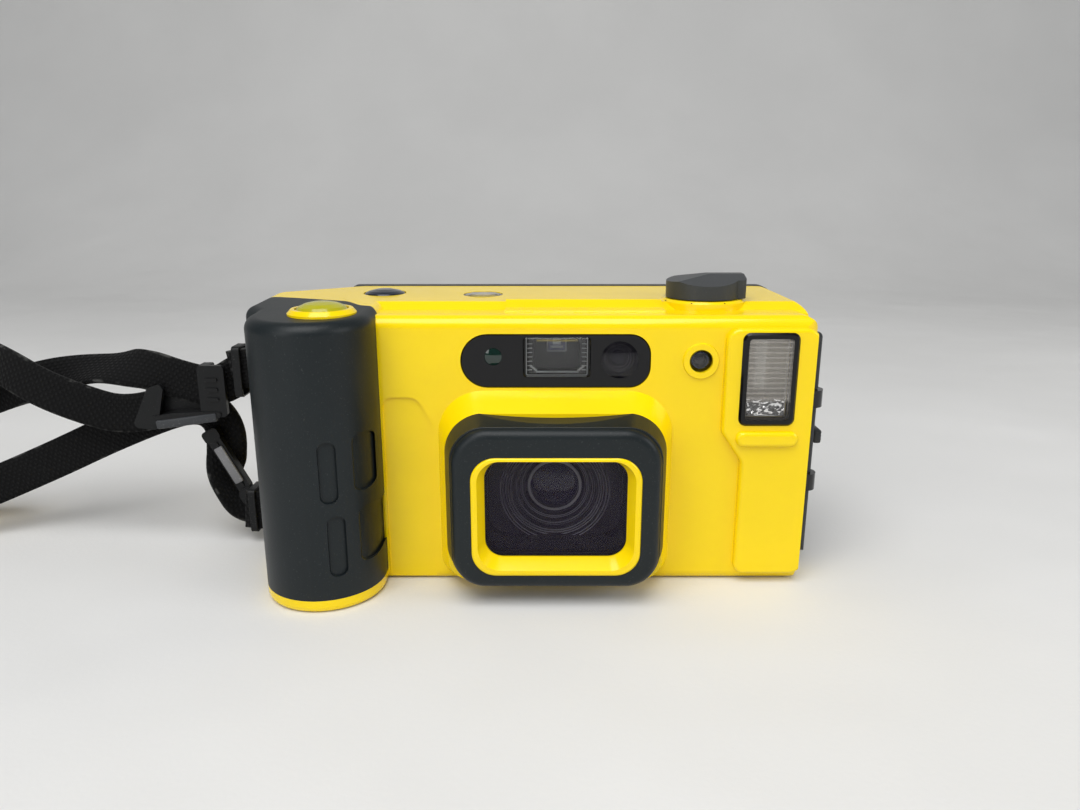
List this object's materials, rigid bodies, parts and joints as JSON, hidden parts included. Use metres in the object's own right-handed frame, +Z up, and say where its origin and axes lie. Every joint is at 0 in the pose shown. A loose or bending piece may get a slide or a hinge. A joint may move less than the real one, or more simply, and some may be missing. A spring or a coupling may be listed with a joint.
{
  "type": "waterproof film camera",
  "caption": "Compact waterproof 35 mm film camera with a rubber grip and lens hood, built-in flash, top selector, hinged rear door and side latch.",
  "frame": {"origin": "mouth of the tripod socket in the base, straight under the lens axis", "axes": "+X along the body away from the grip, +Y from the lens to the rear door, +Z up; the socket opens along -Z"},
  "size_m": [0.3369, 0.0905, 0.09],
  "materials": {
    "yellow_shell": "glossy moulded yellow",
    "rubber_dark": "matte dark grey rubber",
    "door_dark": "fine-grained dark grey",
    "black_plastic": "matte black",
    "panel_black": "glossy black",
    "clear_glass": "clear",
    "dark_pane": "coated, dark purple tint",
    "lens_glass": "coated",
    "seal_rubber": "smooth black",
    "chrome_trough": "bright reflector",
    "steel": "plain steel",
    "brass": "turned",
    "navy_plastic": "dark navy",
    "board_green": "circuit board",
    "cell_wrap": "plain wrap",
    "can_sleeve": "shrink sleeve",
    "counter_white": "white disc",
    "webbing": "black woven webbing",
    "buckle_black": "moulded",
    "float_yellow": "yellow padded band"
  },
  "bodies": {
    "camera": {"front_shell": "yellow_shell", "grip_sleeve": "rubber_dark", "lens_hood": "rubber_dark", "port_bezel": "yellow_shell", "port_pane": "dark_pane", "port_seal": "seal_rubber", "lens_baffle": "black_plastic", "window_panel": "panel_black", "finder_glass": "clear_glass", "focus_lens": "lens_glass", "timer_lamp": "lens_glass", "meter_window": "clear_glass", "flash_frame": "panel_black", "flash_lens": "clear_glass", "flash_reflector": "chrome_trough", "flash_tube": "clear_glass", "flash_capacitor": "can_sleeve", "shutter_collar": "yellow_shell", "counter_window": "clear_glass", "film_chassis": "black_plastic", "film_motor": "steel", "finder_tube": "black_plastic", "finder_lens": "clear_glass", "circuit_board": "board_green", "battery_cells": "cell_wrap", "battery_contacts": "brass", "tripod_bush": "steel", "case_screws": "steel", "hinge_pin": "steel", "latch_pin": "steel", "strap_lugs": "buckle_black", "strap_webbing": "webbing", "strap_roll": "webbing", "strap_float": "float_yellow", "ladder_buckle": "buckle_black", "side_buckle": "buckle_black"},
    "barrel": {"lens_barrel": "black_plastic", "lens_front_glass": "lens_glass", "lens_rear_glass": "lens_glass", "shutter_leaves": "black_plastic"},
    "shutter_button": {"shutter_button": "yellow_shell", "button_boot": "seal_rubber"},
    "timer_button": {"timer_button": "navy_plastic"},
    "counter": {"counter_disc": "counter_white"},
    "dial": {"mode_dial": "door_dark", "dial_shaft": "steel"},
    "spool": {"take_up_spool": "black_plastic"},
    "sprocket": {"sprocket": "black_plastic"},
    "fork": {"rewind_fork": "black_plastic"},
    "battery_cap": {"battery_cap": "door_dark", "cap_seal": "seal_rubber"},
    "door": {"rear_door": "door_dark", "door_seal": "seal_rubber", "eyepiece_window": "clear_glass", "film_window": "clear_glass", "can_spring": "steel", "plate_spring": "steel"},
    "plate": {"pressure_plate": "black_plastic"},
    "latch": {"side_latch": "door_dark"},
    "lock": {"latch_lock": "door_dark"}
  },
  "joints": [
    {"name": "door_hinge", "type": "hinge", "parent": "camera", "child": "door", "pos_m": [-0.0755, 0.0265, 0.04], "axis": [0, 0, 1], "range_deg": [0, 100]},
    {"name": "latch_hinge", "type": "hinge", "parent": "camera", "child": "latch", "pos_m": [0.07675, -0.0138, 0.0385], "axis": [0, 0, -1], "range_deg": [0, 70]},
    {"name": "lock_slide", "type": "slide", "parent": "latch", "child": "lock", "axis": [0, 0, 1], "range_m": [0, 0.004]},
    {"name": "shutter_press", "type": "slide", "parent": "camera", "child": "shutter_button", "axis": [0, 0, -1], "range_m": [0, 0.0014], "stiffness_N_per_m": 700, "springref_m": -0.001, "deforming": ["button_boot"]},
    {"name": "timer_press", "type": "slide", "parent": "camera", "child": "timer_button", "axis": [0, 0, -1], "range_m": [0, 0.0008], "stiffness_N_per_m": 900, "springref_m": -0.001},
    {"name": "dial_turn", "type": "hinge", "parent": "camera", "child": "dial", "pos_m": [0.0446, -0.0045, 0.084], "axis": [0, 0, 1], "range_deg": [0, 90]},
    {"name": "barrel_slide", "type": "slide", "parent": "camera", "child": "barrel", "axis": [0, -1, 0], "range_m": [0, 0.008]},
    {"name": "spool_turn", "type": "hinge", "parent": "camera", "child": "spool", "pos_m": [-0.044, 0.007, 0.0287], "axis": [0, 0, 1], "continuous": true},
    {"name": "sprocket_turn", "type": "hinge", "parent": "camera", "child": "sprocket", "pos_m": [-0.0266, 0.0088, 0.0287], "axis": [0, 0, 1], "continuous": true},
    {"name": "counter_turn", "type": "hinge", "parent": "camera", "child": "counter", "pos_m": [-0.0222, 0.0045, 0.07], "axis": [0, 0, 1], "continuous": true},
    {"name": "fork_turn", "type": "hinge", "parent": "camera", "child": "fork", "pos_m": [0.0475, 0.008, 0.006], "axis": [0, 0, 1], "continuous": true},
    {"name": "cap_turn", "type": "hinge", "parent": "camera", "child": "battery_cap", "pos_m": [-0.0674, -0.029, 0.003], "axis": [0, 0, 1], "range_deg": [0, 90]},
    {"name": "plate_press", "type": "slide", "parent": "door", "child": "plate", "axis": [0, 1, 0], "range_m": [0, 0.0012], "stiffness_N_per_m": 600, "springref_m": -0.001, "deforming": ["plate_spring"]}
  ],
  "couplings": [
    {"joint": "dial_turn", "follows": "barrel_slide", "rad_per_m": 196.3},
    {"joint": "counter_turn", "follows": "sprocket_turn", "ratio": -0.026316}
  ]
}
